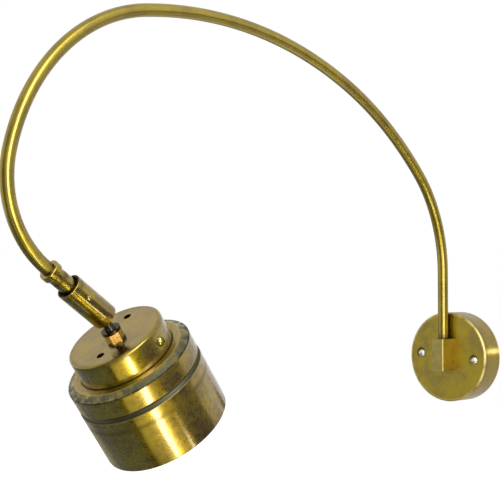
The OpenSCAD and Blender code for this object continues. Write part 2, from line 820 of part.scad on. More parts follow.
module lamp_dome() {
    r = lamp_d / 2 - lamp_rim - fit;
    color(opal) on_head(lamp_to - dome_seat) union() {
        cylinder(r = r, h = dome_seat);
        translate([0, 0, dome_seat]) dome(r, dome_h);
    }
}

wall_strip();
earth_screw();
terminal_block();
terminal_inserts();
terminal_screws();
terminal_fixing_screw();
wall_plate();
plate_screws();
arm_block();
locating_pin();
nipple();
nipple_washer();
nipple_nut();
arm_tube();
arm_collar();
joint_neck();
joint_sleeve();
set_screw();
disc_springs();
ball_seat();
ball_stem();
stem_nut();
inner_washer();
inner_nut();
head_cap();
cap_screws();
head_body();
barrel_gasket();
barrel();
lamp_holder();
holder_screws();
lamp_housing();
lamp_pins();
lamp_dome();
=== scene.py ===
import bpy
import json
import math
import numpy as np
from mathutils import Matrix, Vector


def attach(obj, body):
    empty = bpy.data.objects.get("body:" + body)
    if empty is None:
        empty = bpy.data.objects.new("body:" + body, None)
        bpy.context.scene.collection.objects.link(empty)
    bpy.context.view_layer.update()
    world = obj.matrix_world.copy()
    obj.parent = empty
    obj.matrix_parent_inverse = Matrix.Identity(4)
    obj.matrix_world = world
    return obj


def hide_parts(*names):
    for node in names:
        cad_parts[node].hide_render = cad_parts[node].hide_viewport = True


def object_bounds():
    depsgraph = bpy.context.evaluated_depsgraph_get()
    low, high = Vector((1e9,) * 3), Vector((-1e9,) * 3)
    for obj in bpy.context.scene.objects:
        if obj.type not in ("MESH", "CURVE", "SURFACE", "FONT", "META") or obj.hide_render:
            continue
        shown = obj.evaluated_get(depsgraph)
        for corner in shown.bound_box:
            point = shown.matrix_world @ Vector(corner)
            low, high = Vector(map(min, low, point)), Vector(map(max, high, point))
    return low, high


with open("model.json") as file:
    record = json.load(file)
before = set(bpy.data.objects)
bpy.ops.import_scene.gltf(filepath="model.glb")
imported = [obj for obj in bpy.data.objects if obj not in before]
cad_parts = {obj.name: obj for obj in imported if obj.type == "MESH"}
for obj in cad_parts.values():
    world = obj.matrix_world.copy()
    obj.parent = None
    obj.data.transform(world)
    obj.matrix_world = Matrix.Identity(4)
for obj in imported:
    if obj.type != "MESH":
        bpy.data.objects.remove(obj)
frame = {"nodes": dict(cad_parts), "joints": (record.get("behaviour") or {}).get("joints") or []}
cadLow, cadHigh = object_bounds()
print("frame loaded:", len(frame["nodes"]), "CAD nodes")

mm = 0.001


# Places: every turned piece has its own straight frame, +Z along its axis

# A frame with the columns X, Z x X and Z, turned about its axis by turn degrees
def axisFrame(origin, axis, turn=0):
    z = Vector(axis).normalized()
    x = Vector((1, 0, 0))
    place = Matrix((x, z.cross(x), z)).transposed().to_4x4()
    place.translation = Vector(origin)
    return place @ Matrix.Rotation(math.radians(turn), 4, "Z")


stem = {"reach": 18.6, "headTurn": -17.5}  # mm from the ball's middle to the cap's top, and the vents' turn
joints = {joint["name"]: joint for joint in frame["joints"]}
jointFrame = axisFrame(joints["sleeve_turn"]["pos_m"], joints["sleeve_turn"]["axis"])
ballAt = Vector(joints["head_tilt"]["pos_m"])
headAxis = Vector(joints["head_spin"]["axis"])
headFrame = axisFrame(ballAt + headAxis * stem["reach"] * mm, headAxis, stem["headTurn"])
plateFrame = axisFrame((0, 0, 0), (0, -1, 0))


# Colour and nodes

# An sRGB hex value as a linear colour
def linear(hexCode):
    raw = [int(hexCode[i:i + 2], 16) / 255 for i in (1, 3, 5)]
    return tuple(c / 12.92 if c <= 0.04045 else ((c + 0.055) / 1.055) ** 2.4 for c in raw) + (1,)


# Adds one node and gives its outputs; an input that is a socket becomes a link, any other value is set
def addNode(tree, kind, inputs=None, **settings):
    node = tree.nodes.new("ShaderNode" + kind)
    for key, value in settings.items():
        setattr(node, key, value)
    for key, value in (inputs or {}).items():
        if isinstance(value, bpy.types.NodeSocket):
            tree.links.new(value, node.inputs[key])
        else:
            node.inputs[key].default_value = value
    return node.outputs


def newMaterial(name):
    material = bpy.data.materials.new(name)
    material.use_nodes = True
    material.node_tree.nodes.clear()
    return material, material.node_tree


# A finish's patterns: noise on coords in metres; look gives its grain in mm, its octaves and their strength
def makePatterns(tree, coords, look, keys, stretch=(1, 1, 1)):
    patterns = {}
    for key in keys:
        octaves, strength = look["fineness"][key]
        scale = [s / (look[key + "Mm"] * mm) for s in stretch]
        scaled = addNode(tree, "Mapping", {"Vector": coords, "Scale": scale})[0]
        patterns[key] = addNode(tree, "TexNoise", {"Vector": scaled, "Scale": 1.0, "Detail": octaves,
                                                   "Roughness": strength})["Fac"]
    return patterns


# Coordinates in a piece's own straight frame: an attribute of its mesh, or on a CAD node its Object
# coordinates brought into place's frame
def localCoords(tree, place=None):
    if place is None:
        return addNode(tree, "Attribute", attribute_name="localCoord")["Vector"]
    back = place.inverted()
    coords = addNode(tree, "TexCoord")["Object"]
    return addNode(tree, "Mapping", {"Vector": coords, "Location": back.translation,
                                     "Rotation": back.to_euler()})[0]


# Antique brass: brass turned or brushed, darkened in a bath and rubbed back, under clear lacquer.
# The lacquer mirrors the room sharply over a softer, saturated metal. Edges are rubbed paler, inner corners,
# recesses and seams are darkened with painted shade, and turning lines run round the axis; they are drawn
# coarser than the real ones, so that they show. Each layer of colour comes in over its range of its pattern.
# Heights are in mm.
antiqueBrass = {
    "worn": "#B89C34", "mid": "#988418", "brown": "#735F20", "dark": "#211C12", "patina": "#50564A",
    "patchMm": 22, "mottleMm": 5, "speckMm": 3.0, "lineMm": 0.7, "waveMm": 14,
    "fineness": {"patch": (4, 0.55), "mottle": (5, 0.65), "speck": (2, 0.55), "line": (2, 0.55),
                 "wave": (1, 0.55)},
    "patchWeight": 0.9, "mottleWeight": 0.55, "lineShare": 0.08, "speckShare": 0.22,
    "midRange": (0.5, 0.85), "lineRange": (0.35, 0.75), "speckRange": (0.48, 0.7), "wearRange": (0.25, 0.6),
    "patinaRange": (0.3, 0.6), "paintedShadeRange": (0.15, 0.55),
    "roughness": 0.28, "mottleRoughness": 0.16, "crustAndShadeRoughness": 0.3, "rubbedRoughness": 0.15,
    "facedRoughness": 0, "faceMm": (0.7, 1.7), "waveHeight": 0.04, "lineHeight": 0.0012,
    "anisotropy": 0.4, "grainTurn": 0.25, "coat": 1.0, "coatRoughness": 0.11,
}
# The lines on a bent tube are rubbed round it with a cloth, the brushed ones run along the piece
lineStretch = {"turned": (1, 1, 1), "ringed": (0.06, 0.06, 1), "brushed": (1, 1, 0.03)}


def makeAntiqueBrass(name, place=None, lines="turned", **changes):
    look = {**antiqueBrass, **changes}
    material, tree = newMaterial(name)
    coords = lineCoords = localCoords(tree, place)
    x, y, z = addNode(tree, "SeparateXYZ", {"Vector": coords})
    if lines == "turned":  # turned grooves depend on radius and height alone
        flat = addNode(tree, "CombineXYZ", {"X": x, "Y": y})[0]
        radius = addNode(tree, "VectorMath", {0: flat}, operation="LENGTH")["Value"]
        lineCoords = addNode(tree, "CombineXYZ", {"X": radius, "Z": z})[0]
    pattern = makePatterns(tree, coords, look, ("patch", "mottle", "speck", "wave"))
    pattern.update(makePatterns(tree, lineCoords, look, ("line",), lineStretch[lines]))
    mottle = pattern["mottle"]
    patches = addNode(tree, "Math", {0: pattern["patch"], 1: look["patchWeight"]}, operation="MULTIPLY")[0]
    blotch = addNode(tree, "Math", {0: mottle, 1: look["mottleWeight"], 2: patches},
                     operation="MULTIPLY_ADD")[0]

    marks = {key: addNode(tree, "Attribute", attribute_name=key)["Fac"]
             for key in ("wear", "patina", "paintedShade")}
    colour, amounts = linear(look["brown"]), {}
    # the last layer is painted shade: the dark tone in inner corners, recesses, seams and the given bands
    for layer, height, tone, amount in (
            ("mid", blotch, "mid", 1.0), ("line", pattern["line"], "worn", look["lineShare"]),
            ("speck", pattern["speck"], "dark", look["speckShare"]), ("wear", mottle, "worn", marks["wear"]),
            ("patina", mottle, "patina", marks["patina"]), ("paintedShade", mottle, "dark", marks["paintedShade"])):
        low, high = look[layer + "Range"]
        shown = addNode(tree, "MapRange", {"Value": height, "From Min": low, "From Max": high},
                        interpolation_type="SMOOTHSTEP")[0]
        amounts[layer] = addNode(tree, "Math", {0: amount, 1: shown}, operation="MULTIPLY")[0]
        colour = addNode(tree, "Mix", {0: amounts[layer], 6: colour, 7: linear(look[tone])},
                         data_type="RGBA")[2]

    # crust lies on the lacquer and dulls it; the painted shade dulls it the same way
    crustAndShade = addNode(tree, "Math", {0: amounts["paintedShade"], 1: amounts["patina"]}, operation="MAXIMUM")[0]
    roughened = [(mottle, look["mottleRoughness"]), (crustAndShade, look["crustAndShadeRoughness"]),
                 (amounts["wear"], look["rubbedRoughness"])]
    if look["facedRoughness"]:  # the face at height 0 is finer turned than the side below it
        low, high = (height * mm for height in look["faceMm"])
        faced = addNode(tree, "MapRange", {"Value": z, "From Min": low, "From Max": high, "To Min": 1.0,
                                           "To Max": 0.0}, interpolation_type="SMOOTHSTEP")[0]
        roughened.append((faced, look["facedRoughness"]))
    rough = look["roughness"] - look["mottleRoughness"] / 2
    for amount, added in roughened:
        rough = addNode(tree, "Math", {0: amount, 1: added, 2: rough}, operation="MULTIPLY_ADD")[0]
    coat = addNode(tree, "Math", {0: crustAndShade, 1: -look["coat"], 2: look["coat"]}, operation="MULTIPLY_ADD")[0]

    waved = addNode(tree, "Bump", {"Height": pattern["wave"], "Distance": look["waveHeight"] * mm,
                                   "Strength": 1.0})[0]
    lined = addNode(tree, "Bump", {"Height": pattern["line"], "Distance": look["lineHeight"] * mm,
                                   "Strength": 1.0, "Normal": waved})[0]
    tangent = addNode(tree, "Tangent", direction_type="UV_MAP", uv_map="turnUv")[0]
    shader = addNode(tree, "BsdfPrincipled", {
        "Metallic": 1.0, "Base Color": colour, "Roughness": rough, "Normal": lined, "Tangent": tangent,
        "Anisotropic": look["anisotropy"], "Anisotropic Rotation": look["grainTurn"], "Coat Weight": coat,
        "Coat Roughness": look["coatRoughness"]})
    addNode(tree, "OutputMaterial", {"Surface": shader[0]})
    return material


# The plain finishes: colour clouds from shade to colour, and a fine grain roughens and dents the surface.
# On cut and plated metal the clouds are the grain; plastic and rubber take the mould's spark-eroded grain.
plainSurfaces = {
    "metal": {"cloudMm": 2.0, "grainMm": 2.0, "fineness": {"cloud": (4, 0.6), "grain": (4, 0.6)},
              "cloudRange": (0.35, 0.7), "grainRoughness": 0.2, "grainHeight": 0.01, "grainStrength": 1.0,
              "metallic": 1.0},
    "moulded": {"cloudMm": 14, "grainMm": 0.6, "fineness": {"cloud": (3, 0.55), "grain": (2, 0.55)},
                "cloudRange": (0.3, 0.75), "grainRoughness": 0.12, "grainHeight": 0.015, "grainStrength": 0.6,
                "metallic": 0.0},
}


def makePlain(name, surface, colour, shade, roughness, ior=None):
    look = plainSurfaces[surface]
    material, tree = newMaterial(name)
    pattern = makePatterns(tree, addNode(tree, "TexCoord")["Object"], look, ("cloud", "grain"))
    low, high = look["cloudRange"]
    clouded = addNode(tree, "MapRange", {"Value": pattern["cloud"], "From Min": low, "From Max": high},
                      interpolation_type="SMOOTHSTEP")[0]
    base = addNode(tree, "Mix", {0: clouded, 6: linear(shade), 7: linear(colour)}, data_type="RGBA")[2]
    rough = addNode(tree, "Math", {0: pattern["grain"], 1: look["grainRoughness"],
                                   2: roughness - look["grainRoughness"] / 2}, operation="MULTIPLY_ADD")[0]
    dented = addNode(tree, "Bump", {"Height": pattern["grain"], "Distance": look["grainHeight"] * mm,
                                    "Strength": look["grainStrength"]})[0]
    inputs = {"Metallic": look["metallic"], "Base Color": base, "Roughness": rough, "Normal": dented}
    if ior:
        inputs["IOR"] = ior
    shader = addNode(tree, "BsdfPrincipled", inputs)
    addNode(tree, "OutputMaterial", {"Surface": shader[0]})
    return material


# Surfaces. An outline's corner is (radius, height, fillet), and a band is (radius, height, radius, height,
# reach), all in mm

outline = {"arcPoints": 7, "filletRoom": 0.48, "straightHalf": 1.5, "tiny": 1e-6}


# Replaces each corner of a closed outline by an arc tangent to its two sides, and fills each long stretch
# with points at equal steps of at most spacing. Gives the points, the length along them, and how rubbed
# (near a convex corner) or darkened by painted shade (near a concave one) each is: e to the minus square of
# distance over reach
def fillOutline(corners, spacing, wearReach, paintedShadeReach):
    corners = np.array(corners, float)
    r, z = corners[:, 0], corners[:, 1]
    if np.sum(r * np.roll(z, -1) - np.roll(r, -1) * z) < 0:  # the area is negative if it runs clockwise
        corners = corners[::-1]
    points, rounded, convex, concave = corners[:, :2], [], [], []
    previous, following = np.roll(points, 1, 0), np.roll(points, -1, 0)
    for before, here, after, wanted in zip(previous, points, following, corners[:, 2]):
        a, b = before - here, after - here
        lengths = np.linalg.norm(a), np.linalg.norm(b)
        a, b = a / lengths[0], b / lengths[1]
        half = math.acos(np.clip(a @ b, -1, 1)) / 2
        turn = -(a[0] * b[1] - a[1] * b[0])
        if here[0] > outline["tiny"] and half < outline["straightHalf"]:
            (convex if turn > 0 else concave).append(here)
        fillet = min(wanted, outline["filletRoom"] * min(lengths) * math.tan(half))
        if fillet <= outline["tiny"] or here[0] < outline["tiny"]:
            rounded.append(here[None])
            continue
        middle = here + (a + b) / np.linalg.norm(a + b) * fillet / math.sin(half)
        start, end = here + a * fillet / math.tan(half), here + b * fillet / math.tan(half)
        first, last = (math.atan2(*(p - middle)[::-1]) for p in (start, end))
        sweep = (last - first + math.pi) % (2 * math.pi) - math.pi
        angles = first + sweep * np.linspace(0, 1, outline["arcPoints"])
        rounded.append(middle + fillet * np.stack([np.cos(angles), np.sin(angles)], 1))
    ring = np.concatenate(rounded)
    way = np.roll(ring, -1, 0) - ring
    counts = np.maximum(1, np.ceil(np.linalg.norm(way, axis=1) / spacing)).astype(int)
    stretch = np.repeat(np.arange(len(ring)), counts)
    step = np.arange(len(stretch)) - np.repeat(np.cumsum(counts) - counts, counts)
    ring = ring[stretch] + way[stretch] * step[:, None] / counts[stretch, None]
    length = np.concatenate([[0], np.cumsum(np.linalg.norm(np.diff(ring, axis=0), axis=1))])

    def near(marks, reach):
        if not marks:
            return np.zeros(len(ring))
        distance = np.linalg.norm(ring[:, None] - np.array(marks)[None], axis=2).min(1)
        return np.exp(-(distance / reach) ** 2)
    return ring, length, near(convex, wearReach), near(concave, paintedShadeReach)


# Share of 1 on any of the bands' segments, falling as e to the minus square of distance over reach
def nearBands(ring, bands):
    shares = np.zeros(len(ring))
    for r0, z0, r1, z1, reach in bands:
        start, way = np.array([r0, z0]), np.array([r1 - r0, z1 - z0])
        t = np.clip((ring - start) @ way / max(way @ way, 1e-9), 0, 1)
        distance = np.linalg.norm(ring - start - t[:, None] * way, axis=1)
        shares = np.maximum(shares, np.exp(-(distance / reach) ** 2))
    return shares


def applyModifiers(piece):
    graph = bpy.context.evaluated_depsgraph_get()
    made = bpy.data.meshes.new_from_object(piece.evaluated_get(graph))
    piece.modifiers.clear()
    piece.data = made


# Puts a grid of points into a mesh and welds its poles. Its rows go round and close on themselves, and so do
# its columns on an outline; marks are the shares of wear, painted shade and patina
def gridPiece(name, body, node, material, points, uv, local, marks, closedColumns=True):
    rows, columns = points.shape[:2]
    i, j = np.meshgrid(np.arange(rows), np.arange(columns if closedColumns else columns - 1), indexing="ij")
    iNext, jNext = (i + 1) % rows, (j + 1) % columns
    faces = np.stack([i * columns + j, iNext * columns + j, iNext * columns + jNext, i * columns + jNext], -1)
    mesh = bpy.data.meshes.new(name)
    mesh.from_pydata(points.reshape(-1, 3).tolist(), [], faces.reshape(-1, 4).tolist())
    u = np.stack([i, i + 1, i + 1, i], -1).reshape(-1) / rows
    v = uv[np.stack([j, j, jNext, jNext], -1).reshape(-1)]
    turnUv = mesh.uv_layers.new(name="turnUv")
    turnUv.data.foreach_set("uv", np.stack([u, v], 1).astype(np.float32).ravel())
    straight = mesh.attributes.new("localCoord", "FLOAT_VECTOR", "POINT")
    straight.data.foreach_set("vector", local.astype(np.float32).ravel())
    for key, values in marks.items():
        mark = mesh.attributes.new(key, "FLOAT", "POINT")
        mark.data.foreach_set("value", np.broadcast_to(values, (rows, columns)).astype(np.float32).ravel())
    piece = bpy.data.objects.new(name, mesh)
    bpy.context.scene.collection.objects.link(piece)
    weld = piece.modifiers.new("weld", "WELD")
    weld.merge_threshold = mm / 1000
    applyModifiers(piece)
    piece.data.materials.append(material)
    piece.data.shade_smooth()
    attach(piece, body)
    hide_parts(node)
    return piece


# A turned piece: each outline point (r, z) goes to (r cos a, r sin a, z) of the piece's frame, for turns
# equal steps of the angle a. shape may push points before they are placed
def turnedPiece(name, body, node, material, place, corners, turns, spacing, shape=None, paintedShadeReach=1.6,
                wearReach=0.5, paintedShadeBands=(), patinaBands=()):
    ring, length, wear, paintedShade = fillOutline(corners, spacing, wearReach, paintedShadeReach)
    angle = np.arange(turns) / turns * 2 * math.pi
    r, z = ring[:, 0] * mm, ring[:, 1] * mm
    points = np.stack([r * np.cos(angle)[:, None], r * np.sin(angle)[:, None],
                       np.broadcast_to(z, (turns, len(z)))], -1)
    local = points.copy()
    if shape:
        points = shape(points)
    matrix = np.array(place)
    world = points @ matrix[:3, :3].T + matrix[:3, 3]
    # painted shade in inner corners and along the given bands, where no rubbed paleness shows
    bandShade, patina = nearBands(ring, paintedShadeBands), nearBands(ring, patinaBands)
    marks = {"wear": wear * (1 - bandShade), "paintedShade": np.maximum(paintedShade, bandShade), "patina": patina}
    return gridPiece(name, body, node, material, world, length * mm, local, marks)


# Arm: one tube swept along a straight rise and five bends (radius, degrees) that meet tangent
arm = {
    "radius": 5.0, "foot": 5.7, "blockTop": 17.7, "riseOut": 32.0, "riseTop": 81.5, "tail": 12.0,
    "bends": ((130, 45.5), (350, 22), (410, 33), (149, 67), (74.5, 68.5)),
    "risePoints": 50, "bendPoints": 8, "tailPoints": 9, "stepMm": 1.6, "sides": 40,
    # the tube's slight unevenness, the painted shade's fall in mm from the block and from the neck, and the
    # neck's start
    "unevenMm": 0.06, "unevenOver": (23, 61), "blockShadeFall": 3.0, "neckShadeFall": 4.0, "neckIn": 1.3,
}
# A cloth-rubbed tube: a soft highlight runs its whole length, wide and hazy, with hardly any lacquer shine
rubbedTube = {
    "lines": "ringed", "mid": "#9C8A30", "brown": "#87762F", "patchMm": 40, "mottleMm": 9, "speckShare": 0.0,
    "lineMm": 1.2, "lineShare": 0.03, "lineHeight": 0.0002, "waveMm": 30, "waveHeight": 0.03,
    "roughness": 0.3, "anisotropy": 0.9, "coat": 0.4, "coatRoughness": 0.15,
}


# Points and headings along the arm's line, in mm in the plane x = 0: up the rise, round each bend's centre,
# which lies a radius to the side of the last heading, and straight on into the neck
def armLine():
    count = arm["risePoints"]
    rise = np.linspace(arm["foot"], arm["riseTop"], count)
    points, headings = [np.stack([np.full(count, -arm["riseOut"]), rise], 1)], [np.zeros(count)]
    end, heading = points[0][-1], 0.0
    for radius, sweep in arm["bends"]:
        centre = end - radius * np.array([math.cos(math.radians(heading)), math.sin(math.radians(heading))])
        count = max(arm["bendPoints"], int(math.radians(sweep) * radius / arm["stepMm"]))
        turn = heading + sweep * np.linspace(0, 1, count)[1:]
        points.append(centre + radius * np.stack([np.cos(np.radians(turn)), np.sin(np.radians(turn))], 1))
        headings.append(turn)
        end, heading = points[-1][-1], turn[-1]
    way = np.array([-math.sin(math.radians(heading)), math.cos(math.radians(heading))])
    points.append(end + np.linspace(0, arm["tail"], arm["tailPoints"])[1:, None] * way)
    headings.append(np.full(arm["tailPoints"] - 1, heading))
    return np.concatenate(points), np.concatenate(headings)


# The tube: at each point of the line a circle square to it, whose radius is less by a slow double sine of up
# to unevenMm. Each end closes on a point. Painted shade darkens the tube where it meets the block and the
# neck, and fades away from both
def makeArm(material):
    line, heading = armLine()
    along = np.concatenate([[0], np.cumsum(np.linalg.norm(np.diff(line, axis=0), axis=1))])
    around = np.arange(arm["sides"]) / arm["sides"] * 2 * math.pi
    outward = np.stack([np.cos(np.radians(heading)), np.sin(np.radians(heading))], 1)
    waveA, waveB = arm["unevenOver"]
    radius = arm["radius"] - arm["unevenMm"] * (1 + np.sin(along / waveA) * np.sin(along / waveB)) / 2
    radius = np.concatenate([[0], radius, [0]])
    line, outward, along = (np.concatenate([a[:1], a, a[-1:]]) for a in (line, outward, along))
    across, up = radius * np.cos(around)[:, None], radius * np.sin(around)[:, None]
    points = np.stack([across, line[:, 0] + up * outward[:, 0], line[:, 1] + up * outward[:, 1]], -1) * mm
    local = np.stack([across, up, np.broadcast_to(along, across.shape)], -1) * mm
    blockTop, neckStart = arm["blockTop"] - arm["foot"], along[-1] - arm["tail"] + arm["neckIn"]
    # painted shade, darkest where the tube meets the block and the neck
    paintedShade = np.maximum(np.exp(-np.clip(along - blockTop, 0, None) / arm["blockShadeFall"]),
                       np.exp(-np.clip(neckStart - along, 0, None) / arm["neckShadeFall"]))
    marks = {"wear": 0.0, "paintedShade": paintedShade, "patina": 0.0}
    gridPiece("armTubeSkin", "arm", "arm_tube", material, points, along * mm, local, marks,
              closedColumns=False)


makeArm(makeAntiqueBrass("antiqueBrassRubbedTube", **rubbedTube))
print("arm swept")

# Wall plate: a spun cup with a bevelled front and a dished seat under each screw
plate = {
    "radius": 43.3, "depth": 25.6, "front": 3.0, "wall": 1.8, "bevel": 1.2, "turns": 256, "spacing": 0.6,
    "screwPitch": 60.8, "screwTilt": 4.8, "dishRadius": 5.7, "dishDepth": 1.3, "dishSkin": 0.3,
    "dishPower": 0.6,
}
# Spun plate: nearly matt, with wide cloudy patches and a pale line where its edge has been rubbed
spunPlate = {
    "worn": "#D2BE78", "brown": "#75662C", "patchMm": 38, "mottleMm": 7, "speckShare": 0.06, "roughness": 0.3,
    "rubbedRoughness": 0.25, "coat": 0.35, "coatRoughness": 0.2,
}


# The dish: inside dishRadius the outer face falls by dishDepth times (0.5 + 0.5 cos(pi d)) to the power
# dishPower, where d is the distance from the screw's axis over dishRadius
def dishPlate(points):
    tilt, half = math.radians(plate["screwTilt"]), plate["screwPitch"] / 2 * mm
    outer = points[..., 2] > (plate["depth"] - plate["dishSkin"]) * mm
    for side in (-1, 1):
        x, y = side * half * math.cos(tilt), -side * half * math.sin(tilt)
        distance = np.hypot(points[..., 0] - x, points[..., 1] - y) / (plate["dishRadius"] * mm)
        drop = np.where(distance < 1, 0.5 + 0.5 * np.cos(np.pi * np.clip(distance, 0, 1)), 0)
        points[..., 2] -= outer * drop ** plate["dishPower"] * plate["dishDepth"] * mm
    return points


def makePlate(material):
    r, h, t, w, b = (plate[k] for k in ("radius", "depth", "front", "wall", "bevel"))
    turnedPiece("wallPlateShell", "arm", "wall_plate", material, plateFrame, [
        (0, h - t, 0), (r - w, h - t, 1.5), (r - w, 0, 0.3), (r, 0, 0.3), (r, h - b, 0.5), (r - b, h, 0.4),
        (0, h, 0)], turns=plate["turns"], spacing=plate["spacing"], shape=dishPlate, wearReach=0.9)


makePlate(makeAntiqueBrass("antiqueBrassSpunPlate", **spunPlate))
print("wall plate made")

# Ball joint: collar, neck and sleeve on the joint's axis
neck = {
    "collarRadius": 7.9, "collarFrom": -1.7, "collarTo": 3.7, "radius": 6.45, "tubeRadius": 5.05, "bore": 4,
    "socket": 9.0, "reach": 18.7, "plugFrom": 22.7, "plugTo": 39.4, "grooveFrom": 30.8, "grooveTo": 34.2,
    "grooveDeep": 1.2, "play": 0.05, "turns": 96,
}
sleeve = {
    "radius": 9.75, "length": 39.2, "bore": 7.25, "mouth": 6.18, "recessRadius": 8.2, "recess": 3.5,
    "ballDepth": 3.4, "coneDepth": 1.7, "ledgeRadius": 7.05, "ledgeStep": 0.2, "turns": 128,
    # the sleeve's end round the neck takes painted shade
    "mouthShade": (0.6, 0.4),  # how far inside the edge it stops, and its reach
}
# Small turned parts: clean and glossy, with one crisp bright line along each and few specks
turnedJoint = {
    "patchMm": 12, "mottleMm": 5, "lineMm": 0.6, "lineShare": 0.04, "lineHeight": 0.0005, "speckShare": 0.05,
    "waveMm": 6, "waveHeight": 0.05, "roughness": 0.25,
}


def makeJoint(material):
    n, s = neck, sleeve
    low, high, inner = n["collarFrom"], n["collarTo"], n["radius"] + n["play"]
    turnedPiece("armCollarRing", "arm", "arm_collar", material, jointFrame, [
        (inner, low, 0.1), (n["collarRadius"], low, 1.0), (n["collarRadius"], high, 1.0), (inner, high, 0.1)],
        turns=n["turns"], spacing=0.5)
    plug = s["bore"] - n["play"]
    waist = plug - n["grooveDeep"]
    turnedPiece("jointNeckTube", "arm", "joint_neck", material, jointFrame, [
        (n["tubeRadius"], low, 0.1), (n["radius"], low, 0.1), (n["radius"], n["plugFrom"], 0.3),
        (plug, n["plugFrom"], 0.2), (plug, n["grooveFrom"], 0.1), (waist, n["grooveFrom"], 0.1),
        (waist, n["grooveTo"], 0.1), (plug, n["grooveTo"], 0.1), (plug, n["plugTo"], 0.2),
        (n["bore"], n["plugTo"], 0.2), (n["bore"], n["socket"], 0.2), (n["tubeRadius"], n["socket"], 0.2)],
        turns=n["turns"], spacing=0.6, paintedShadeReach=2.5)
    start, end = n["reach"], n["reach"] + s["length"]
    ledge, (stop, reach) = end - s["ballDepth"], s["mouthShade"]
    # painted shade in the sleeve's inner corners and across its recessed end round the neck
    turnedPiece("jointSleeveShell", "sleeve", "joint_sleeve", material, jointFrame, [
        (s["bore"], start + s["recess"], 0.1), (s["recessRadius"], start + s["recess"], 0.2),
        (s["recessRadius"], start, 0.25), (s["radius"], start, 0.5), (s["radius"], end, 0.6),
        (s["mouth"], end, 0.2), (s["mouth"], ledge + s["coneDepth"], 0.1), (s["ledgeRadius"], ledge, 0.3),
        (s["bore"], ledge - s["ledgeStep"], 0.3)], turns=s["turns"], spacing=0.5,
        paintedShadeBands=[(s["recessRadius"], start, s["radius"] - stop, start, reach)])


makeJoint(makeAntiqueBrass("antiqueBrassTurnedJoint", **turnedJoint))
print("ball joint made")

# Head: cap, body and barrel on the head's axis, heights from the cap's top
head = {
    "capRadius": 36.35, "capHeight": 19.6, "capRound": 1.8, "capTop": 2.0, "capWall": 1.6, "capPlay": 0.1,
    "ventRadius": 3.0, "ventPitch": 46.4, "drillFrom": -2, "drillTo": 4, "drillSides": 48, "sharpAngle": 40,
    "bodyRadius": 48.4, "bodyHeight": 17.1, "bodyWall": 2.4, "shoulderIn": 5.9, "shoulderDown": 3.1,
    "insideStep": 1, "gap": 2.0, "barrelRadius": 48.8, "barrelLength": 45.85, "barrelWall": 1.5,
    "barrelBevel": 2.2, "barrelPlay": 0.05, "barrelRelief": 2, "spigot": 45.3, "spigotWall": 2.0,
    "spigotFrom": 5.5, "spigotLength": 9.0, "webHole": 18.0, "turns": 192,
}
# Where painted shade (the cap's foot, the seam beside it, the shoulder's lower edge, the gap) and green crust
# (the shoulder, the barrel's bevel) sit: offsets from the edge beside them, and last the reach
headShadeAndCrust = {
    "capEdge": (0.4, 0.4), "capSeam": (0.5, 0.4), "bodyEdge": 0.6, "gap": (0.3, 0.7), "shoulder": (0.6, 0.5),
    "barrelBevel": (0.5, 0.3, 0.5),
}
# The cap's top is faced finer than its side, so it mirrors the stem; the barrel's bevel keeps a dark crust
turnedCap = {"patchMm": 24, "facedRoughness": -0.1}
turnedBarrel = {"patina": "#3E423A", "patchMm": 26, "patinaRange": (0.05, 0.35)}


# Cuts round holes, each (frame, radius, from, to): a boolean with a closed prism of drillSides sides, whose
# two rings of points are (radius cos a, radius sin a) at the heights from and to
def drill(piece, holes):
    tools, count = [], head["drillSides"]
    n = np.arange(count)
    for place, radius, low, high in holes:
        ring = radius * np.stack([np.cos(n / count * 2 * math.pi), np.sin(n / count * 2 * math.pi)], 1)
        verts = np.concatenate([np.c_[ring, np.full(count, low)], np.c_[ring, np.full(count, high)]]) * mm
        sides = np.stack([n, (n + 1) % count, (n + 1) % count + count, n + count], 1).tolist()
        mesh = bpy.data.meshes.new("drill")
        mesh.from_pydata(verts.tolist(), [], sides + [n[::-1].tolist(), (n + count).tolist()])
        mesh.transform(place)
        tool = bpy.data.objects.new("drill", mesh)
        bpy.context.scene.collection.objects.link(tool)
        cut = piece.modifiers.new("cut", "BOOLEAN")
        cut.operation, cut.object, cut.solver = "DIFFERENCE", tool, "EXACT"
        tools.append(tool)
    applyModifiers(piece)
    for tool in tools:
        bpy.data.objects.remove(tool)
    piece.data.set_sharp_from_angle(angle=math.radians(head["sharpAngle"]))


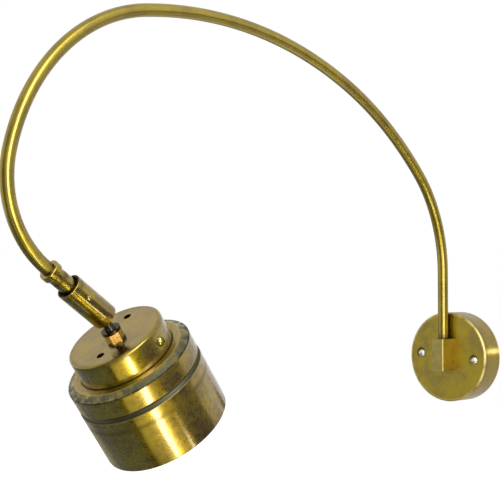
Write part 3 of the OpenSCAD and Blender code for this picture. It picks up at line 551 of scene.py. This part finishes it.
def makeHead(capBrass, bodyBrass, barrelBrass):
    h, shadeAndCrust = head, headShadeAndCrust
    capInner, (wide, reach) = h["capRadius"] - h["capWall"], shadeAndCrust["capEdge"]
    # the cap's side takes painted shade at its foot, where it meets the body
    cap = turnedPiece("headCapShell", "head", "head_cap", capBrass, headFrame, [
        (0, 0, 0), (h["capRadius"], 0, h["capRound"]), (h["capRadius"], h["capHeight"], 0.25),
        (capInner, h["capHeight"], 0.2), (capInner, h["capTop"], 1.0), (0, h["capTop"], 0)],
        turns=h["turns"], spacing=0.7,
        paintedShadeBands=[(h["capRadius"], h["capHeight"], h["capRadius"], h["capHeight"] - wide, reach)])
    drill(cap, [(headFrame @ Matrix.Translation((0, side * h["ventPitch"] / 2 * mm, 0)), h["ventRadius"],
                 h["drillFrom"], h["drillTo"]) for side in (-1, 1)])

    webFrom, webTo, bodyTo = h["capHeight"], h["capHeight"] + h["bodyWall"], h["capHeight"] + h["bodyHeight"]
    edge, start = webFrom + h["shoulderDown"], bodyTo + h["gap"]
    flat, spigot, spigotIn = h["bodyRadius"] - h["shoulderIn"], h["spigot"], h["spigot"] - h["spigotWall"]
    spigotEnd = start + h["spigotLength"]
    capSpigot = capInner - h["capPlay"]
    seamWide, seamReach = shadeAndCrust["capSeam"]
    gapIn, gapReach = shadeAndCrust["gap"]
    crustIn, crustReach = shadeAndCrust["shoulder"]
    # the body takes painted shade beside the cap, as a dark line along the shoulder's lower edge, and down in
    # the gap
    turnedPiece("headBodyShell", "head", "head_body", bodyBrass, headFrame, [
        (capSpigot - h["bodyWall"], h["spigotFrom"], 0.3), (capSpigot, h["spigotFrom"], 0.3),
        (capSpigot, webFrom, 0.1), (flat, webFrom, 0.5), (h["bodyRadius"], edge, 0.5),
        (h["bodyRadius"], bodyTo, 0.4), (spigot, bodyTo, 0.1), (spigot, spigotEnd, 0.3),
        (spigotIn, spigotEnd, 0.3), (spigotIn, webTo + h["shoulderDown"], 1.0),
        (spigotIn - h["shoulderIn"] + h["insideStep"], webTo, 1.0), (h["webHole"], webTo, 0.2),
        (h["webHole"], webFrom, 0.2), (capSpigot - h["bodyWall"], webFrom, 0.2)],
        turns=h["turns"], spacing=0.5,
        paintedShadeBands=[(h["capRadius"], webFrom, h["capRadius"] + seamWide, webFrom, seamReach),
                    (h["bodyRadius"], edge, h["bodyRadius"], edge, shadeAndCrust["bodyEdge"]),
                    (spigot, bodyTo + gapIn, spigot, start, gapReach)],
        patinaBands=[(flat + crustIn, webFrom, h["bodyRadius"], edge, crustReach)])

    end, r, bevel = start + h["barrelLength"], h["barrelRadius"], h["barrelBevel"]
    inner, fit = r - h["barrelWall"], spigot + h["barrelPlay"]
    crustIn, crustShort, crustReach = shadeAndCrust["barrelBevel"]
    turnedPiece("barrelShell", "head", "barrel", barrelBrass, headFrame, [
        (fit, start, 0.1), (r - bevel, start, 0.2), (r, start + bevel, 0.3), (r, end, 0.4), (inner, end, 0.4),
        (inner, spigotEnd + h["barrelRelief"], 0.5), (fit, spigotEnd, 0.2)], turns=h["turns"], spacing=0.6,
        patinaBands=[(r - bevel - crustIn, start, r - crustShort, start + bevel - crustShort, crustReach)])


makeHead(makeAntiqueBrass("antiqueBrassTurnedCap", **turnedCap), makeAntiqueBrass("antiqueBrassTurnedBody"),
         makeAntiqueBrass("antiqueBrassTurnedBarrel", **turnedBarrel))
print("head made")

# CAD nodes that stay: each takes a finish. Surface, colour, its shade, roughness and a plastic's IOR
plainFinishes = {
    "polishedGoldBrass": ("metal", "#DDBE7C", "#B8924C", 0.22),  # buffed: the lightest gold, crisp glints
    "machinedBrass": ("metal", "#B8974A", "#9C7E3C", 0.32),  # cut and left bare: plain yellow, satin
    "agedBrass": ("metal", "#B9AA68", "#7A6E3C", 0.26),  # handled: pale olive with brown clouds
    "blackenedBrass": ("metal", "#4E4638", "#2A251C", 0.18),  # chemically blacked: dark, still mirror-like
    "zincPlatedSteel": ("metal", "#B9BCBB", "#9A9D9C", 0.34),  # electroplated: mid grey, cloudy, dull shine
    "nickelPlatedSteel": ("metal", "#E6E9EA", "#CDD1D3", 0.36),  # plated: near white with soft highlights
    "creamCeramicPlastic": ("moulded", "#DDD5BC", "#CBBF9F", 0.45, 1.53),  # hard moulding: cream, satin
    "whiteGlossPlastic": ("moulded", "#ECECE8", "#DEDED8", 0.3, 1.49),  # polished mould: white and glossy
    "frostedOpalPlastic": ("moulded", "#F4F3EC", "#E9E7DC", 0.5, 1.49),  # etched mould: milky and soft
    "blackRubber": ("moulded", "#131412", "#0C0D0C", 0.75, 1.52),  # cured in a blasted mould: black and matt
}
# A block milled and brushed along its length: satin, without the turned parts' bright bands
milledBlock = {
    "place": plateFrame, "lines": "brushed", "mid": "#968748", "brown": "#7E7038", "patchMm": 14,
    "speckShare": 0.08, "anisotropy": 0.0, "roughness": 0.3, "coat": 0.4,
}
nodeFinishes = {
    "antiqueBrassMilledBlock": ("arm_block",),
    "polishedGoldBrass": ("stem_nut",),
    "machinedBrass": ("earth_screw", "terminal_inserts", "nipple", "nipple_nut"),
    "agedBrass": ("set_screw", "cap_screws"),
    "blackenedBrass": ("ball_stem",),
    "zincPlatedSteel": ("wall_strip", "terminal_fixing_screw", "locating_pin", "nipple_washer",
                        "disc_springs", "inner_washer", "inner_nut", "holder_screws"),
    "nickelPlatedSteel": ("terminal_screws", "plate_screws", "lamp_pins"),
    "creamCeramicPlastic": ("terminal_block", "ball_seat", "lamp_holder"),
    "whiteGlossPlastic": ("lamp_housing",),
    "frostedOpalPlastic": ("lamp_dome",),
    "blackRubber": ("barrel_gasket",),
}
finishes = {name: makePlain(name, *values) for name, values in plainFinishes.items()}
finishes["antiqueBrassMilledBlock"] = makeAntiqueBrass("antiqueBrassMilledBlock", **milledBlock)
for name, nodes in nodeFinishes.items():
    for node in nodes:
        data = frame["nodes"][node].data
        data.materials.clear()
        data.materials.append(finishes[name])
print("finishes set on", sum(len(nodes) for nodes in nodeFinishes.values()), "CAD nodes")

# Stage: a pale floor well below, white surroundings, soft lamps, and cards for the brass to mirror
stage = {
    "floorDrop": 1.5, "floorSize": 24.0, "floorColour": "#F6F6F4", "floorRoughness": 0.9, "floorGlow": 0.6,
    "roomLight": 0.65, "roomSeen": 0.35, "cardDistance": 1.1,
}
# Azimuth and elevation from the head, distance, width and height in metres, watts, colour and roll
lights = {
    "keyStrip": (81, -43, 1.0, 0.12, 0.30, 2.2, "#FFF8E8", 0),  # the bright band along the head
    "glowStrip": (75, -48, 1.02, 0.12, 0.40, 0.25, "#FFF2B8", 0),  # the warm fall beside it
    "goldPanel": (69.5, -47.5, 1.05, 0.95, 0.42, 1.9, "#FFF4A0", 35),  # the golden left of the head
    "jointStrip": (107, -34, 1.0, 0.07, 0.10, 0.32, "#FFF6E0", 0),  # the sleeve's highlight
    "armSoftbox": (66, 20, 0.70, 0.42, 1.3, 4.3, "#FFF9EC", 0),  # the tube's near side
    "armStrip": (73, 22, 1.8, 0.45, 2.2, 24, "#FAFBFF", 0),  # the line along the tube
    "blockStrip": (61.5, -5, 0.51, 0.08, 0.14, 0.45, "#FFF4DC", 0),  # the block's golden side
    "plateGlint": (170.6, -3.7, 0.516, 0.012, 0.012, 0.005, "#FFF6DC", 0),  # the glint on the plate's rim
}
# Azimuth and elevation from the head, width and height as angles seen from it, shade and glow
cards = {
    "lowCard": (-50, -54, 100, 70, "#7F888F", 0),
    "leftCard": (-122, -16, 44, 60, "#A8A490", 0),
    "keyCard": (73, -46, 66, 70, "#17130C", 0),  # black round the key strip, for the bands beside it
    "topCard": (-102, 37, 50, 50, "#D8CEBC", 0.2),
    "armCard": (2, 8, 46, 60, "#B3AC9F", 0),
    "sideCard": (125, -30, 38, 66, "#74749A", 0),
    "farCard": (176, 2, 64, 90, "#F0EEFF", 0.03),
}


# A flat rectangle that looks up +Z
def flatSheet(name, halfWidth, halfHeight, height=0.0):
    mesh = bpy.data.meshes.new(name)
    corners = ((-1, -1), (1, -1), (1, 1), (-1, 1))
    mesh.from_pydata([(x * halfWidth, y * halfHeight, height) for x, y in corners], [], [(0, 1, 2, 3)])
    return bpy.data.objects.new(name, mesh)


def makeFloor():
    half = stage["floorSize"] / 2
    floor = flatSheet("studioFloor", half, half, cadLow.z - stage["floorDrop"])
    bpy.context.scene.collection.objects.link(floor)
    material, tree = newMaterial("paleStudioFloor")
    paths = addNode(tree, "LightPath")
    seen = addNode(tree, "Math", {0: paths["Is Camera Ray"], 1: paths["Is Glossy Ray"]},
                   operation="MAXIMUM")[0]
    glow = addNode(tree, "Math", {0: seen, 1: stage["floorGlow"]}, operation="MULTIPLY")[0]
    shader = addNode(tree, "BsdfPrincipled", {
        "Base Color": linear(stage["floorColour"]), "Roughness": stage["floorRoughness"],
        "Emission Color": (1, 1, 1, 1), "Emission Strength": glow})
    addNode(tree, "OutputMaterial", {"Surface": shader[0]})
    floor.data.materials.append(material)


# The room lights at roomLight, and looks white to the camera and in reflections
def makeWorld():
    world = bpy.data.worlds.new("whiteStudio")
    bpy.context.scene.world = world
    world.use_nodes = True
    tree = world.node_tree
    tree.nodes.clear()
    paths = addNode(tree, "LightPath")
    seen = paths["Is Camera Ray"]
    for ray in ("Is Glossy Ray", "Is Transmission Ray"):
        seen = addNode(tree, "Math", {0: seen, 1: paths[ray]}, operation="MAXIMUM")[0]
    strength = addNode(tree, "Math", {0: seen, 1: stage["roomSeen"], 2: stage["roomLight"]},
                       operation="MULTIPLY_ADD")[0]
    background = addNode(tree, "Background", {"Color": (1, 1, 1, 1), "Strength": strength})
    addNode(tree, "OutputWorld", {"Surface": background[0]})


# Places a thing so that it faces the head from a given direction, its long side turned by roll degrees;
# azimuth 0 stands in front of the wall, 90 to its right
def face(thing, azimuth, elevation, distance, roll=0):
    a, e = math.radians(azimuth), math.radians(elevation)
    back = Vector((math.sin(a) * math.cos(e), -math.cos(a) * math.cos(e), math.sin(e)))
    thing.location = ballAt + back * distance
    turned = back.to_track_quat("Z", "Y").to_matrix() @ Matrix.Rotation(math.radians(roll), 3, "Z")
    thing.rotation_euler = turned.to_euler()
    bpy.context.scene.collection.objects.link(thing)


def makeLight(name, azimuth, elevation, distance, width, height, power, colour, roll):
    data = bpy.data.lights.new(name, "AREA")
    data.shape, data.size, data.size_y, data.energy = "RECTANGLE", width, height, power
    data.color = linear(colour)[:3]
    lamp = bpy.data.objects.new(name, data)
    lamp.visible_camera = False
    face(lamp, azimuth, elevation, distance, roll)


def makeCard(name, azimuth, elevation, width, height, shade, glow):
    distance = stage["cardDistance"]
    half = [distance * math.tan(math.radians(angle / 2)) for angle in (width, height)]
    card = flatSheet(name, *half)
    face(card, azimuth, elevation, distance)
    material, tree = newMaterial(name + "Felt")
    shader = addNode(tree, "BsdfPrincipled", {"Base Color": linear(shade), "Roughness": 1.0,
                                              "Emission Color": (1, 1, 1, 1), "Emission Strength": glow})
    addNode(tree, "OutputMaterial", {"Surface": shader[0]})
    card.data.materials.append(material)
    card.visible_camera = card.visible_shadow = False


makeFloor()
makeWorld()
for name, values in lights.items():
    makeLight(name, *values)
for name, values in cards.items():
    makeCard(name, *values)
print("stage lit")

# Camera: the photograph's view, fitted to the plate's rim and the arm
camera = {
    "at": (0.6305, -0.9573, 0.0678), "right": (0.7201, 0.6939, 0.0016), "up": (0.0285, -0.0319, 0.9991),
    "lens": 81.456, "sensor": 36.0, "clip": (0.05, 50),
}


def makeCamera():
    data = bpy.data.cameras.new("photographView")
    data.lens, data.sensor_width = camera["lens"], camera["sensor"]
    data.clip_start, data.clip_end = camera["clip"]
    shot = bpy.data.objects.new("photographView", data)
    right, up = Vector(camera["right"]).normalized(), Vector(camera["up"]).normalized()
    back = right.cross(up).normalized()
    up = back.cross(right)
    shot.matrix_world = Matrix.Translation(camera["at"]) @ Matrix((right, up, back)).transposed().to_4x4()
    bpy.context.scene.collection.objects.link(shot)
    bpy.context.scene.camera = shot


makeCamera()
bpy.context.scene.view_settings.view_transform = "Standard"
